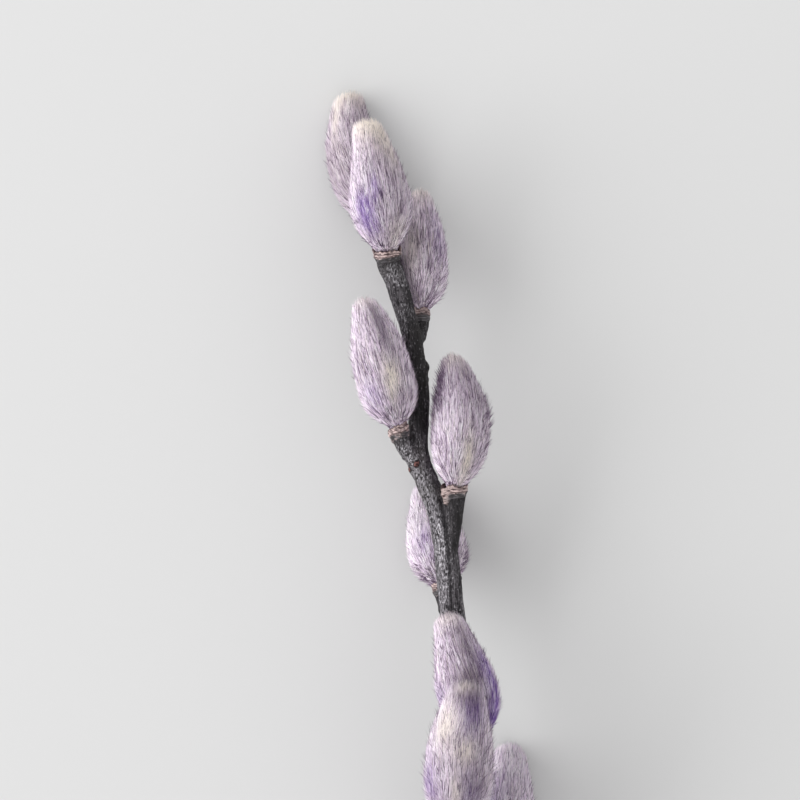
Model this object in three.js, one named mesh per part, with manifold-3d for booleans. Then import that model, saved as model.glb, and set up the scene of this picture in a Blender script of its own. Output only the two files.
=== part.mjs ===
// A cut willow twig with its furry spring catkins, lying on a flat surface.
// Millimetres. X runs across the twig, Y along it from the cut end to the top, Z up from the surface.
// The twig is laid out around its stem's axis and is moved last, to stand on the surface about the origin.
import * as THREE from "three";
import { mergeVertices } from "three/addons/utils/BufferGeometryUtils.js";
import Module from "manifold-3d";

const wasm = await Module();
wasm.setup();

// Height of the stem's axis above the surface that the twig lies on.
const STEM_HEIGHT = 13;

// Stem: points of its axis from the cut end to the top, each with the radius of the wood there.
const STEM_ROUTE = [
  { at: [3.9, -103.0, -0.6], radius: 2.35 },
  { at: [3.0, -93.0, -0.3], radius: 2.3 },
  { at: [2.4, -82.5, 0.0], radius: 2.25 },
  { at: [2.5, -72.0, 0.2], radius: 2.2 },
  { at: [3.0, -61.5, 0.2], radius: 2.15 },
  { at: [2.8, -51.0, 0.0], radius: 2.1 },
  { at: [2.1, -40.5, -0.2], radius: 2.05 },
  { at: [1.2, -31.5, 0.0], radius: 2.0 },
  { at: [0.3, -24.0, 0.0], radius: 1.9 },
  { at: [-0.5, -16.5, 0.1], radius: 1.9 },
  { at: [-1.5, -9.9, 0.2], radius: 1.85 },
  { at: [-3.4, -5.0, 0.1], radius: 1.75 },
  { at: [-4.8, -0.8, 0.0], radius: 1.7 },
  { at: [-4.7, 4.0, -0.1], radius: 1.55 },
  { at: [-4.5, 9.0, -0.1], radius: 1.45 },
  { at: [-5.1, 14.0, 0.0], radius: 1.45 },
  { at: [-6.3, 19.0, 0.0], radius: 1.55 },
  { at: [-7.7, 24.0, 0.0], radius: 1.65 },
  { at: [-8.75, 27.2, 0.0], radius: 1.75 },
];
const STEM_SIDES = 12;
const STEM_STEPS = 52;
const CUT_SLANT = THREE.MathUtils.degToRad(38);
const CUT_LENGTH = 3.5;

// Catkins from the top of the twig down. base is the end of the woody spur that carries the catkin, and tip
// the end of its fur. radius is the catkin's largest one and bow a sideways bend. girth scales the spur and
// the cup, and drop is how far below the base the spur leaves the stem.
const CATKINS = [
  { base: [-11.2, 33.4, -6.0], tip: [-15.5, 53.9, -11.5], radius: 4.6, bow: -1.0, girth: 1.0, drop: 14 },
  { base: [-9.3, 28.65, 0.2], tip: [-12.2, 48.9, 4.8], radius: 5.1, bow: 0.1, girth: 1.15, drop: 5 },
  { base: [-4.2, 19.5, -3.0], tip: [-4.5, 39.2, -8.0], radius: 4.2, bow: 0.2, girth: 0.7, drop: 6 },
  { base: [-7.5, 2.2, 2.6], tip: [-12.5, 22.4, 5.6], radius: 4.8, bow: -0.2, girth: 0.85, drop: 7.5 },
  { base: [0.8, -6.7, 1.2], tip: [0.9, 14.0, 3.2], radius: 4.8, bow: 0.7, girth: 1.0, drop: 14 },
  { base: [-0.7, -21.8, -4.9], tip: [-3.6, -5.6, -10.3], radius: 5.0, bow: 0, girth: 1.0, drop: 9 },
  { base: [4.5, -44.0, 4.2], tip: [-0.6, -24.5, 10.6], radius: 5.1, bow: 0.2, girth: 1.0, drop: 9 },
  { base: [1.0, -58.2, 5.8], tip: [2.2, -34.1, 18.8], radius: 5.5, bow: -0.4, girth: 1.1, drop: 9 },
  { base: [6.8, -65.2, -1.9], tip: [9.4, -45.3, -12.3], radius: 4.7, bow: 0.4, girth: 1.0, drop: 8 },
  { base: [-1.2, -80.4, -2.7], tip: [-4.5, -62.4, -12.2], radius: 4.8, bow: -0.4, girth: 1.0, drop: 8 },
  { base: [7.0, -91.6, 2.6], tip: [9.8, -71.8, 6.4], radius: 4.8, bow: 0.4, girth: 1.05, drop: 8 },
];

// Woody spurs that carry the catkins: radii at the root inside the stem and at the end, and the straight
// stub at the end.
const SPUR_ROOT_RADIUS = 1.25;
const SPUR_END_RADIUS = 1.65;
const SPUR_NECK = 0.92;
const SPUR_STUB = 1.5;
const SPUR_SIDES = 8;
const SPUR_STEPS = 5;

// Torn base of the bud scale, a low cup round each catkin's foot. Heights are from the end of the spur.
const CUP_FOOT = 0.12;
const CUP_FLOOR = 0.55;
const CUP_RIM = 1.35;
const CUP_RAGGED = 0.22;
const CUP_RADIUS = 1.85;
const CUP_WALL = 0.35;
const CUP_TAPER = 0.93;
const CUP_SIDES = 12;

// Catkin: a foot that stands in the cup with a small gap round it, then rows of pointed locks of fur that lie
// towards the tip, each row set half a lock round from the one below. Shares are of the catkin's length.
const CATKIN_START = 0.72;
const FOOT_GAP = 0.14;
const FOOT_HEIGHT = 0.9;
const LOCK_ROWS = 9;
const LOCKS_IN_ROW = 10;
const FIRST_ROW = 0.085;
const LAST_ROW = 0.97;
const LOCK_ROOT = 0.86;
const LOCK_OVERHANG = 0.035;
const LOCK_VALLEY = 0.45;
const LOCK_UNEVEN = 0.05;
const TIP_DIP = 0.95;

// Outline of the fur: share of the catkin's length, and share of its largest radius there.
const FUR_OUTLINE = new THREE.SplineCurve([
  new THREE.Vector2(0, 0.4),
  new THREE.Vector2(0.14, 0.74),
  new THREE.Vector2(0.43, 1),
  new THREE.Vector2(0.7, 0.85),
  new THREE.Vector2(0.88, 0.58),
  new THREE.Vector2(1, 0.27),
]);

// Small dormant buds and leaf scars on the bark: their Y on the stem, and the way they face round it, from
// 0 towards +X through 90 upwards. SCAR_FORM is their size across, along and out of the bark.
const SCARS = [
  { y: -1.8, facing: 100, size: 0.6 },
  { y: -2.4, facing: 175, size: 0.6 },
  { y: 12.5, facing: 5, size: 0.55 },
  { y: -34.0, facing: 200, size: 0.7 },
  { y: -69.5, facing: 150, size: 0.8 },
  { y: -97.0, facing: 40, size: 0.8 },
];
const SCAR_FORM = [1.3, 1.7, 0.9];
const SCAR_SUNK = 0.92;

const barkMaterial = new THREE.MeshStandardMaterial({ color: 0x4a4643, roughness: 0.85, metalness: 0 });
const cupMaterial = new THREE.MeshStandardMaterial({ color: 0x7a5348, roughness: 0.8, metalness: 0 });
const furMaterial = new THREE.MeshStandardMaterial({ color: 0xbcaebf, roughness: 0.95, metalness: 0 });

// A seeded draw, so that the fur comes out the same each time.
function seededDraw(seed) {
  let state = seed;
  return () => {
    state = (Math.imul(state, 1664525) + 1013904223) >>> 0;
    return state / 4294967296;
  };
}

// Where a rising function of 0 to 1 reaches a value, found by halving.
function reachedAt(rising, value) {
  let low = 0;
  let high = 1;
  for (let i = 0; i < 30; i++) {
    const middle = (low + high) / 2;
    if (rising(middle) < value) low = middle;
    else high = middle;
  }
  return low;
}

// A closed geometry as a solid that can be joined and cut.
function solidOf(geometry) {
  const bare = geometry.clone();
  bare.deleteAttribute("normal");
  bare.deleteAttribute("uv");
  const merged = mergeVertices(bare, 1e-4);
  const vertProperties = new Float32Array(merged.attributes.position.array);
  const triVerts = new Uint32Array(merged.index.array);
  return new wasm.Manifold(new wasm.Mesh({ numProp: 3, vertProperties, triVerts }));
}

// The largest body of a solid: what fusing has sealed off inside it, or cut loose from it, is left out.
function oneBody(solid) {
  return solid.decompose().reduce((a, b) => (a.volume() > b.volume() ? a : b));
}

function meshOf(solid, material, name) {
  const { vertProperties, triVerts } = solid.getMesh();
  const geometry = new THREE.BufferGeometry();
  geometry.setAttribute("position", new THREE.BufferAttribute(vertProperties, 3));
  geometry.setIndex(new THREE.BufferAttribute(triVerts, 1));
  geometry.computeVertexNormals();
  const mesh = new THREE.Mesh(geometry, material);
  mesh.name = name;
  return mesh;
}

// A round bar bent along a route, with the route's radii.
function bentBar(route, sides, steps) {
  const axis = new THREE.CatmullRomCurve3(route.map(({ at }) => new THREE.Vector3(...at)));
  const girth = new THREE.CatmullRomCurve3(route.map(({ radius }) => new THREE.Vector3(radius, 0, 0)));
  const frames = axis.computeFrenetFrames(steps);
  const bar = new THREE.CylinderGeometry(1, 1, 1, sides, steps);
  const places = bar.attributes.position;
  for (let i = 0; i < places.count; i++) {
    const share = places.getY(i) + 0.5;
    const step = Math.round(share * steps);
    const radius = girth.getPoint(axis.getUtoTmapping(share)).x;
    const point = axis.getPointAt(share);
    point.addScaledVector(frames.normals[step], places.getZ(i) * radius);
    point.addScaledVector(frames.binormals[step], places.getX(i) * radius);
    places.setXYZ(i, point.x, point.y, point.z);
  }
  return bar;
}

const stemAxis = new THREE.CatmullRomCurve3(STEM_ROUTE.map(({ at }) => new THREE.Vector3(...at)));

// The point of the stem's axis at a given Y, which only grows along the stem, and the way it runs there.
function stemAt(y) {
  const share = reachedAt((place) => stemAxis.getPointAt(place).y, y);
  return { point: stemAxis.getPointAt(share), along: stemAxis.getTangentAt(share) };
}

// The line of a catkin: its base, its direction and its length without the bow.
function catkinLine({ base, tip }) {
  const start = new THREE.Vector3(...base);
  const along = new THREE.Vector3(...tip).sub(start);
  const length = along.length();
  return { start, along: along.normalize(), length };
}

// A group whose Z axis is the catkin's line and whose X axis stays level, placed at the spur's end.
function catkinGroup(catkin) {
  const { start, along } = catkinLine(catkin);
  const side = new THREE.Vector3(0, 0, 1).cross(along).negate().normalize();
  const out = along.clone().cross(side);
  const group = new THREE.Group();
  group.position.copy(start);
  group.quaternion.setFromRotationMatrix(new THREE.Matrix4().makeBasis(side, out, along));
  group.updateMatrix();
  return group;
}

function spurSolid(catkin) {
  const { start, along } = catkinLine(catkin);
  const { point: root, along: stemAlong } = stemAt(start.y - catkin.drop);
  const leaving = root.clone().addScaledVector(stemAlong, start.distanceTo(root) / 4);
  const arriving = start.clone().addScaledVector(along, -SPUR_STUB);
  const end = SPUR_END_RADIUS * catkin.girth;
  const route = [
    { at: root.toArray(), radius: SPUR_ROOT_RADIUS },
    { at: leaving.toArray(), radius: (SPUR_ROOT_RADIUS + end) / 2 },
    { at: arriving.toArray(), radius: SPUR_NECK * end },
    { at: start.toArray(), radius: end },
  ];
  return solidOf(bentBar(route, SPUR_SIDES, SPUR_STEPS));
}

function scarSolid({ y, facing, size }) {
  const { point, along } = stemAt(y);
  const nearest = STEM_ROUTE.reduce((a, b) => (Math.abs(a.at[1] - y) < Math.abs(b.at[1] - y) ? a : b));
  const out = new THREE.Vector3(1, 0, 0).applyAxisAngle(along, THREE.MathUtils.degToRad(-facing));
  const side = along.clone().cross(out).normalize();
  const bump = new THREE.SphereGeometry(size, 6, 4);
  bump.scale(...SCAR_FORM);
  bump.applyMatrix4(new THREE.Matrix4().makeBasis(side, along, out));
  const seat = point.clone().addScaledVector(out, nearest.radius * SCAR_SUNK);
  bump.translate(seat.x, seat.y, seat.z);
  return solidOf(bump);
}

// A block whose slanted top face makes the cut at the stem's lower end.
function cutterSolid() {
  const { point, along } = stemAt(STEM_ROUTE[0].at[1] + CUT_LENGTH);
  const size = 30;
  const block = new THREE.BoxGeometry(size, size, size);
  block.translate(0, -size / 2, 0);
  block.rotateX(CUT_SLANT);
  block.applyQuaternion(new THREE.Quaternion().setFromUnitVectors(new THREE.Vector3(0, 1, 0), along));
  block.translate(point.x, point.y, point.z);
  return solidOf(block);
}

function stemMesh() {
  let wood = solidOf(bentBar(STEM_ROUTE, STEM_SIDES, STEM_STEPS));
  for (const catkin of CATKINS) {
    wood = wood.add(spurSolid(catkin));
  }
  for (const scar of SCARS) {
    wood = wood.add(scarSolid(scar));
  }
  wood = wood.subtract(cutterSolid());
  return meshOf(oneBody(wood), barkMaterial, "stem");
}

// A shallow dish turned about Z, with a torn rim that rises and falls round it.
function cupMesh(catkin, name, turn) {
  const outer = CUP_RADIUS * catkin.girth;
  const inner = outer - CUP_WALL;
  const middle = (CUP_FLOOR + CUP_RIM) / 2;
  const profile = [
    new THREE.Vector2(0, CUP_FOOT),
    new THREE.Vector2(CUP_TAPER * outer, CUP_FOOT),
    new THREE.Vector2(outer, middle),
    new THREE.Vector2(outer, CUP_RIM),
    new THREE.Vector2(inner, CUP_RIM),
    new THREE.Vector2(CUP_TAPER * inner, CUP_FLOOR),
    new THREE.Vector2(0, CUP_FLOOR),
  ];
  const dish = new THREE.LatheGeometry(profile, CUP_SIDES);
  const places = dish.attributes.position;
  for (let i = 0; i < places.count; i++) {
    if (places.getY(i) > middle + 0.01) {
      const angle = Math.atan2(places.getZ(i), places.getX(i)) + turn;
      const torn = CUP_RAGGED * (0.6 * Math.sin(3 * angle) + 0.4 * Math.sin(5 * angle));
      places.setY(i, places.getY(i) + torn);
    }
  }
  dish.rotateX(Math.PI / 2);
  return meshOf(solidOf(dish), cupMaterial, name);
}

// Share of the largest radius at a share of a catkin's length, from its foot at 0 to its blunt tip at 1.
function furShare(share) {
  const along = THREE.MathUtils.clamp(share, 0, 1);
  return FUR_OUTLINE.getPoint(reachedAt((place) => FUR_OUTLINE.getPoint(place).x, along)).y;
}

const rowStart = (row) => THREE.MathUtils.lerp(FIRST_ROW, LAST_ROW, row / LOCK_ROWS);

// A turned blank with two rings for each row: one at the locks' roots, and one whose points are pulled out
// into a zigzag of lock points and of the valleys between them.
function furSolid(catkin, body, seed) {
  const draw = seededDraw(seed);
  const foot = CUP_TAPER * (CUP_RADIUS * catkin.girth - CUP_WALL) - FOOT_GAP;
  const profile = [
    new THREE.Vector2(0, 0),
    new THREE.Vector2(foot, 0),
    new THREE.Vector2(foot, FOOT_HEIGHT),
  ];
  const firstRing = profile.length;
  for (let row = 0; row < LOCK_ROWS; row++) {
    for (const share of [rowStart(row), rowStart(row + 1)]) {
      profile.push(new THREE.Vector2(LOCK_ROOT * catkin.radius * furShare(share), share * body));
    }
  }
  profile.push(new THREE.Vector2(0, TIP_DIP * body));
  const segments = 2 * LOCKS_IN_ROW;
  const blank = new THREE.LatheGeometry(profile, segments);

  const uneven = profile.map(() => Array.from({ length: segments }, () => LOCK_UNEVEN * (draw() - 0.5)));
  const places = blank.attributes.position;
  for (let i = 0; i < places.count; i++) {
    const ring = i % profile.length;
    const segment = Math.floor(i / profile.length) % segments;
    const row = Math.floor((ring - firstRing) / 2);
    const isPointRing = ring >= firstRing && ring < profile.length - 1 && (ring - firstRing) % 2 === 1;
    if (isPointRing) {
      const isPoint = (segment + row) % 2 === 0;
      const jitter = uneven[ring][segment];
      const valley = THREE.MathUtils.lerp(rowStart(row), rowStart(row + 1), LOCK_VALLEY);
      const share = isPoint ? rowStart(row + 1) + LOCK_OVERHANG + jitter : valley;
      const reach = (isPoint ? 1 : LOCK_ROOT) * catkin.radius * furShare(share);
      const angle = (segment / segments) * 2 * Math.PI + 2 * jitter;
      places.setXYZ(i, reach * Math.sin(angle), share * body, reach * Math.cos(angle));
    }
  }
  for (let i = 0; i < places.count; i++) {
    const share = places.getY(i) / body;
    places.setX(i, places.getX(i) + 4 * share * (1 - share) * catkin.bow);
  }
  blank.rotateX(Math.PI / 2);
  return solidOf(blank);
}

// The surface that the twig lies on, as a block in a catkin's own frame.
function groundSolid(group) {
  const depth = 50;
  const ground = new THREE.BoxGeometry(200, 300, depth);
  ground.translate(0, 0, -STEM_HEIGHT - depth / 2);
  ground.applyMatrix4(group.matrix.clone().invert());
  ground.translate(0, 0, -CATKIN_START);
  return solidOf(ground);
}

// Fur that would reach into the surface is pressed flat there.
function catkinMesh(catkin, name, seed, group) {
  const body = catkinLine(catkin).length - CATKIN_START;
  const fur = furSolid(catkin, body, seed).subtract(groundSolid(group));
  const mesh = meshOf(oneBody(fur), furMaterial, name);
  mesh.position.z = CATKIN_START;
  return mesh;
}

const twig = new THREE.Group();
twig.add(stemMesh());
CATKINS.forEach((catkin, i) => {
  const number = String(i + 1).padStart(2, "0");
  const group = catkinGroup(catkin);
  group.add(cupMesh(catkin, "bud_cup_" + number, i * 1.7));
  group.add(catkinMesh(catkin, "catkin_" + number, i + 11, group));
  twig.add(group);
});

// The origin is the middle of the twig's outline, on the surface.
twig.updateMatrixWorld(true);
const outline = new THREE.Box3().setFromObject(twig, true);
const middle = outline.getCenter(new THREE.Vector3());
twig.position.set(-middle.x, -middle.y, STEM_HEIGHT);

const part = new THREE.Group();
part.add(twig);

export default part;
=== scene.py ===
# %% [markdown]
# # A willow twig in its spring fur
#
# The twig is a length of florist's willow, cut and laid down: one dark grey stem and eleven silky catkins,
# each of them sitting in the torn foot of its bud scale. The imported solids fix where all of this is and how
# big it is, so the lesson starts by loading them and never moves them. It then dresses them: bark with
# wrinkles and flecks, bud scales with layers and torn rims, and fur that is combed from the foot of each
# catkin to its blunt end, hair by hair.

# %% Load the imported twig
import math

import bmesh
import bpy
import numpy as np
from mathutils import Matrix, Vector


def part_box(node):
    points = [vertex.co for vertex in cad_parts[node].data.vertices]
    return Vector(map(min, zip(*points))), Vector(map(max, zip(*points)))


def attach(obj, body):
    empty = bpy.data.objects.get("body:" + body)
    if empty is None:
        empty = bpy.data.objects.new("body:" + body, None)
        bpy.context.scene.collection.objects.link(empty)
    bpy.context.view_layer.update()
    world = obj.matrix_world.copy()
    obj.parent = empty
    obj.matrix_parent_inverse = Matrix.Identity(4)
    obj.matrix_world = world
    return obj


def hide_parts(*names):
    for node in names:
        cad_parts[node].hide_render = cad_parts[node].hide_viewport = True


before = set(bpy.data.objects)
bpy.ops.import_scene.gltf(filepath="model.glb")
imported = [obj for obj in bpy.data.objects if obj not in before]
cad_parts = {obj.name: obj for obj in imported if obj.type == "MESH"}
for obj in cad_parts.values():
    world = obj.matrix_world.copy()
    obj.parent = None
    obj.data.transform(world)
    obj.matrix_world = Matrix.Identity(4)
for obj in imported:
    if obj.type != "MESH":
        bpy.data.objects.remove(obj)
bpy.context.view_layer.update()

MM = 0.001
numbers = sorted(name[-2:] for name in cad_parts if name.startswith("catkin_"))

# %% [markdown]
# ## Measuring the solids
#
# Fur grows along a line: out of the cup, up the catkin and over its end. We could write those lines down
# again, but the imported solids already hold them. A cup's flat underside faces straight down its catkin's
# line, so its largest triangle gives the direction, and the fur's own corners give the length, the girth
# and the sideways bow.

# %% Read the line of each catkin
UP = np.array([0.0, 0.0, 1.0])


def node_corners(name):
    """Corners of a CAD node's triangles, as an array of triangles, corners and coordinates."""
    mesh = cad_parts[name].data
    mesh.calc_loop_triangles()
    places = np.empty(3 * len(mesh.vertices))
    mesh.vertices.foreach_get("co", places)
    corners = np.empty(3 * len(mesh.loop_triangles), dtype=int)
    mesh.loop_triangles.foreach_get("vertices", corners)
    return places.reshape(-1, 3)[corners].reshape(-1, 3, 3)


def face_crosses(triangles):
    """Outward vectors of triangles, each twice as long as its triangle is large."""
    return np.cross(triangles[:, 1] - triangles[:, 0], triangles[:, 2] - triangles[:, 0])


def unit(vectors):
    return vectors / np.linalg.norm(vectors, axis=-1, keepdims=True)


class CatkinLine:
    """Where a catkin starts, which way it grows, and how long, thick and bowed it is."""

    def __init__(self, number):
        cup = node_corners("bud_cup_" + number)
        fur = node_corners("catkin_" + number).reshape(-1, 3)
        crosses = face_crosses(cup)
        largest = np.linalg.norm(crosses, axis=1).argmax()
        self.number = number
        self.along = -unit(crosses[largest])
        self.side = unit(np.cross(self.along, UP))
        self.rise = np.cross(self.side, self.along)
        cup = cup.reshape(-1, 3)
        heights = (cup - cup.mean(0)) @ self.along
        self.seat = cup.mean(0) + self.along * heights.min()
        self.rim = np.ptp(heights)
        self.cup_radius = self.spread(cup).max()
        reach = (fur - self.seat) @ self.along
        self.base = self.seat + self.along * reach.min()
        self.length = np.ptp(reach)
        share = (reach - reach.min()) / self.length
        middle = (share > 0.35) & (share < 0.65)
        self.bow = ((fur[middle] - self.seat) @ self.side).mean()
        self.radius = self.spread(fur - self.side * (4 * self.bow * share * (1 - share))[:, None]).max()

    def spread(self, points):
        """Distances of points from the straight line through the cup."""
        offset = points - self.seat
        return np.linalg.norm(offset - np.outer(offset @ self.along, self.along), axis=1)


lines = [CatkinLine(number) for number in numbers]
for line in lines:
    print(f"catkin {line.number}: {line.length / MM:.1f} mm long, {2 * line.radius / MM:.1f} mm thick,"
          f" bowed {line.bow / MM:.1f} mm, cup {2 * line.cup_radius / MM:.1f} mm")

# %% [markdown]
# ## The camera
#
# The twig is seen square on, from a little way off, so perspective hardly shows. The picture is 120 mm wide
# at the height of the stem, and one cup whose pixel is known fixes where the camera stands.

# %% Stand the camera above the twig
PICTURE_PIXELS = 800
MM_PER_PIXEL = 0.15
AIM_NUMBER = "05"
AIM_PIXEL = (455.3, 493.0)
CAMERA_HEIGHT = 0.6
SENSOR_MM = 36.0

aim = next(line for line in lines if line.number == AIM_NUMBER)
stem_low, stem_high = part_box("stem")
picture_width = PICTURE_PIXELS * MM_PER_PIXEL * MM
view_middle = Vector((
    aim.seat[0] + (PICTURE_PIXELS / 2 - AIM_PIXEL[0]) * MM_PER_PIXEL * MM,
    aim.seat[1] - (PICTURE_PIXELS / 2 - AIM_PIXEL[1]) * MM_PER_PIXEL * MM,
    (stem_low.z + stem_high.z) / 2,
))

camera = bpy.data.cameras.new("view_from_above")
camera.sensor_width = SENSOR_MM
camera.lens = SENSOR_MM * CAMERA_HEIGHT / picture_width
camera_object = bpy.data.objects.new("view_from_above", camera)
camera_object.location = view_middle + Vector((0, 0, CAMERA_HEIGHT))
bpy.context.scene.collection.objects.link(camera_object)
bpy.context.scene.camera = camera_object
print("lens:", round(camera.lens), "mm, looking at", [round(c / MM, 1) for c in view_middle])

# %% [markdown]
# ## A bench for wiring nodes
#
# Materials and Geometry Nodes are both trees of nodes. Wiring them by hand hides what they work out, so one
# small class wraps a socket and turns Python's arithmetic into Math nodes, and one method adds any other
# node: its settings first, then the values or links of its sockets.

# %% Wires and benches
class Wire:
    """An output of a node. Arithmetic on wires adds Math nodes to the same tree."""

    def __init__(self, bench, socket):
        self.bench = bench
        self.socket = socket

    def out(self, name):
        """Another output of the same node."""
        return Wire(self.bench, self.socket.node.outputs[name])

    def __add__(self, other):
        return self.bench.math("ADD", self, other)

    def __radd__(self, other):
        return self.bench.math("ADD", other, self)

    def __sub__(self, other):
        return self.bench.math("SUBTRACT", self, other)

    def __rsub__(self, other):
        return self.bench.math("SUBTRACT", other, self)

    def __mul__(self, other):
        return self.bench.math("MULTIPLY", self, other)

    def __rmul__(self, other):
        return self.bench.math("MULTIPLY", other, self)

    def __truediv__(self, other):
        return self.bench.math("DIVIDE", self, other)

    def __pow__(self, other):
        return self.bench.math("POWER", self, other)

    def __mod__(self, other):
        return self.bench.math("MODULO", self, other)


class Bench:
    """A node tree that is being wired."""

    def __init__(self, tree):
        self.tree = tree

    def node(self, kind, settings=None, sockets=None, out=0):
        made = self.tree.nodes.new(kind)
        for name, value in (settings or {}).items():
            setattr(made, name, value)
        for key, value in (sockets or {}).items():
            self.feed(made.inputs[key], value)
        return Wire(self, made.outputs[out]) if made.outputs else None

    def feed(self, socket, value):
        if isinstance(value, Wire):
            self.tree.links.new(value.socket, socket)
        else:
            socket.default_value = value

    def math(self, operation, first, second=0.0):
        return self.node("ShaderNodeMath", {"operation": operation}, {0: first, 1: second})

    def vector(self, operation, first, second=(0.0, 0.0, 0.0)):
        return self.node("ShaderNodeVectorMath", {"operation": operation}, {0: first, 1: second})

    def scaled(self, vector, amount):
        return self.node("ShaderNodeVectorMath", {"operation": "SCALE"}, {0: vector, 3: amount})

    def mix(self, share, first, second):
        """A colour between two others."""
        return self.node("ShaderNodeMix", {"data_type": "RGBA"}, {0: share, 6: first, 7: second}, out=2)

    def fade(self, value, start, end):
        """0 up to start and 1 from end on, smooth between; the other way round where end is the lower."""
        settings = {"interpolation_type": "SMOOTHSTEP"}
        return self.node("ShaderNodeMapRange", settings, {"Value": value, 1: start, 2: end})

    def noise(self, place, scale, detail=2.0):
        return self.node("ShaderNodeTexNoise", None, {"Vector": place, "Scale": scale, "Detail": detail})

    def bump(self, height, strength, distance):
        sockets = {"Strength": strength, "Distance": distance, "Height": height}
        return self.node("ShaderNodeBump", None, sockets)

    def attribute(self, name):
        """A value that a mesh's points carry, for a material."""
        return self.node("ShaderNodeAttribute", {"attribute_name": name}, out="Fac")

    def named(self, name, kind="FLOAT"):
        """A value that a mesh's points carry, for Geometry Nodes."""
        return self.node("GeometryNodeInputNamedAttribute", {"data_type": kind}, {"Name": name})

    def keep(self, geometry, name, value, kind="FLOAT", domain="POINT"):
        """Stores a value on a geometry's points or corners."""
        settings = {"data_type": kind, "domain": domain}
        sockets = {"Geometry": geometry, "Name": name, "Value": value}
        return self.node("GeometryNodeStoreNamedAttribute", settings, sockets)


def linear(red, green, blue):
    """A colour as a screen shows it, 0 to 255, in the linear values that sockets take."""
    shares = [value / 255 for value in (red, green, blue)]
    return tuple(s / 12.92 if s < 0.04045 else ((s + 0.055) / 1.055) ** 2.4 for s in shares) + (1.0,)


# %% [markdown]
# ## Turning a tree's result into a plain mesh
#
# A tree of Geometry Nodes works on an object through a modifier. Its sizes are named inputs, and a modifier
# keeps them under the sockets' identifiers. Once the tree has run, the evaluated object is copied into a
# plain mesh, because an export knows nothing of modifiers and instances.

# %% Make, run and settle a tree
def new_tree(name, inputs):
    """A bench for Geometry Nodes, its input node, and the identifiers of its named inputs."""
    tree = bpy.data.node_groups.new(name, "GeometryNodeTree")
    tree.interface.new_socket("Geometry", in_out="OUTPUT", socket_type="NodeSocketGeometry")
    tree.interface.new_socket("Geometry", in_out="INPUT", socket_type="NodeSocketGeometry")
    identifiers = {}
    for label, kind in inputs.items():
        socket = tree.interface.new_socket(label, in_out="INPUT", socket_type="NodeSocket" + kind)
        identifiers[label] = socket.identifier
    bench = Bench(tree)
    return bench, bench.node("NodeGroupInput"), identifiers


def settle(piece):
    """Makes a plain mesh of a piece and its modifiers."""
    graph = bpy.context.evaluated_depsgraph_get()
    evaluated = piece.evaluated_get(graph)
    mesh = bpy.data.meshes.new_from_object(evaluated, preserve_all_data_layers=True, depsgraph=graph)
    before = piece.data
    piece.modifiers.clear()
    piece.data = mesh
    bpy.data.meshes.remove(before)
    mesh.name = piece.name
    return piece


def run_tree(piece, bench, identifiers, values):
    modifier = piece.modifiers.new(bench.tree.name, "NODES")
    modifier.node_group = bench.tree
    for label, value in values.items():
        modifier[identifiers[label]] = value
    return settle(piece)


def new_piece(name, mesh):
    piece = bpy.data.objects.new(name, mesh)
    bpy.context.scene.collection.objects.link(piece)
    return piece


def triangle_count(piece):
    return sum(len(face.vertices) - 2 for face in piece.data.polygons)


def mesh_points(mesh):
    places = np.empty(3 * len(mesh.vertices))
    mesh.vertices.foreach_get("co", places)
    return places.reshape(-1, 3)


def store(mesh, name, values, kind="FLOAT", field="value"):
    """Keeps a value for each of a mesh's points, for nodes to read."""
    attribute = mesh.attributes.new(name, kind, "POINT")
    attribute.data.foreach_set(field, np.asarray(values, dtype=np.float32).ravel())


def new_finish(name, roughness):
    """A material, a bench for its nodes, and its shader."""
    material = bpy.data.materials.new(name)
    material.use_nodes = True
    shader = material.node_tree.nodes["Principled BSDF"]
    shader.inputs["Roughness"].default_value = roughness
    return material, Bench(material.node_tree), shader


# %% [markdown]
# ## Bark
#
# Willow bark of this age is a dull, dark grey skin. It shrinks into fine wrinkles along the twig and
# carries pale flecks and a few warts. It is ash-grey where it has weathered, and that mark is also painted
# light along the lit upper side of the lower stem. Shade is painted nearly black below the cups and beside
# the forks. A crease shows where a spur has grown against the stem and is painted dark as the shade in it;
# two small buds are a dull red-brown, and a slanted cut shows pale wood inside. An image would give all
# that, but would stretch over the forks. Noise that is read from the position and drawn out along the twig
# has no seams, so the finish and the relief both use it. Where the marks lie is noted on the stem's points,
# in the step after this one.

# %% The bark's finish
BARK_DARK = linear(28, 25, 28)
BARK_GREY = linear(92, 88, 92)
BARK_ASH = linear(130, 126, 131)
BARK_PALE = linear(196, 193, 198)
BARK_OLIVE = linear(74, 72, 62)
BARK_PAINTED_SHADE = linear(26, 24, 25)
BUD_DARK = linear(40, 22, 22)
BUD_PINK = linear(122, 84, 80)
WOOD_PALE = linear(214, 198, 160)
WOOD_GREEN = linear(128, 140, 74)
PITH_BROWN = linear(150, 116, 78)


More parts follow.
